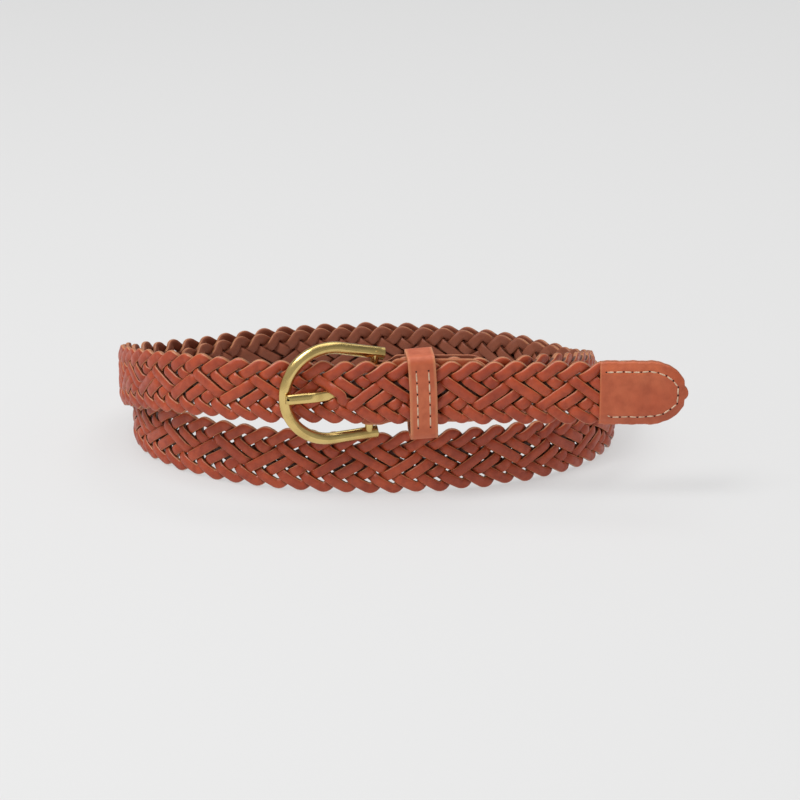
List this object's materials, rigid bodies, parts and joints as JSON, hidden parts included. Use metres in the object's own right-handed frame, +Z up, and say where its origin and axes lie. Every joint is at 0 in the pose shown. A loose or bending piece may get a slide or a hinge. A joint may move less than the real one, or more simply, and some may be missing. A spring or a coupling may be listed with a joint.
{
  "type": "braided leather belt",
  "caption": "Braided brown leather belt, coiled and fastened through a brass horseshoe buckle with a hinged prong, with a sliding keeper loop and a stitched rounded tip",
  "frame": {"origin": "under the middle of the whole coiled belt, on the surface it stands on", "axes": "+X runs along the front of the coil from the buckle towards the tip, -Y is the side the buckle faces, +Z is up across the strap's width"},
  "size_m": [0.2196, 0.1664, 0.0629],
  "materials": {
    "braid_leather": "semi-gloss, waxed",
    "smooth_leather": "satin",
    "thread": "matte",
    "brass": "polished, slightly aged"
  },
  "bodies": {
    "strap": {"braided_strap": "braid_leather", "chape": "smooth_leather", "chape_thread_front": "thread", "chape_thread_back": "thread", "tip_front": "smooth_leather", "tip_back": "smooth_leather", "tip_thread_front": "thread", "tip_thread_back": "thread"},
    "buckle": {"buckle_frame": "brass", "buckle_bar": "brass"},
    "prong": {"prong": "brass"},
    "keeper": {"keeper_loop": "smooth_leather", "keeper_thread_left": "thread", "keeper_thread_right": "thread", "keeper_staple": "brass"}
  },
  "joints": [
    {"name": "frame_swing", "type": "hinge", "parent": "strap", "child": "buckle", "pos_m": [-0.00772, -0.06964, 0.0417], "axis": [0.0802, 0, 0.9968], "range_deg": [0, 8]},
    {"name": "prong_pivot", "type": "hinge", "parent": "buckle", "child": "prong", "pos_m": [-0.00772, -0.06964, 0.0417], "axis": [0.0802, 0, 0.9968], "range_deg": [0, 6]},
    {"name": "keeper_slide", "type": "slide", "parent": "strap", "child": "keeper", "axis": [1, 0, 0], "range_m": [-0.006, 0.02]}
  ]
}
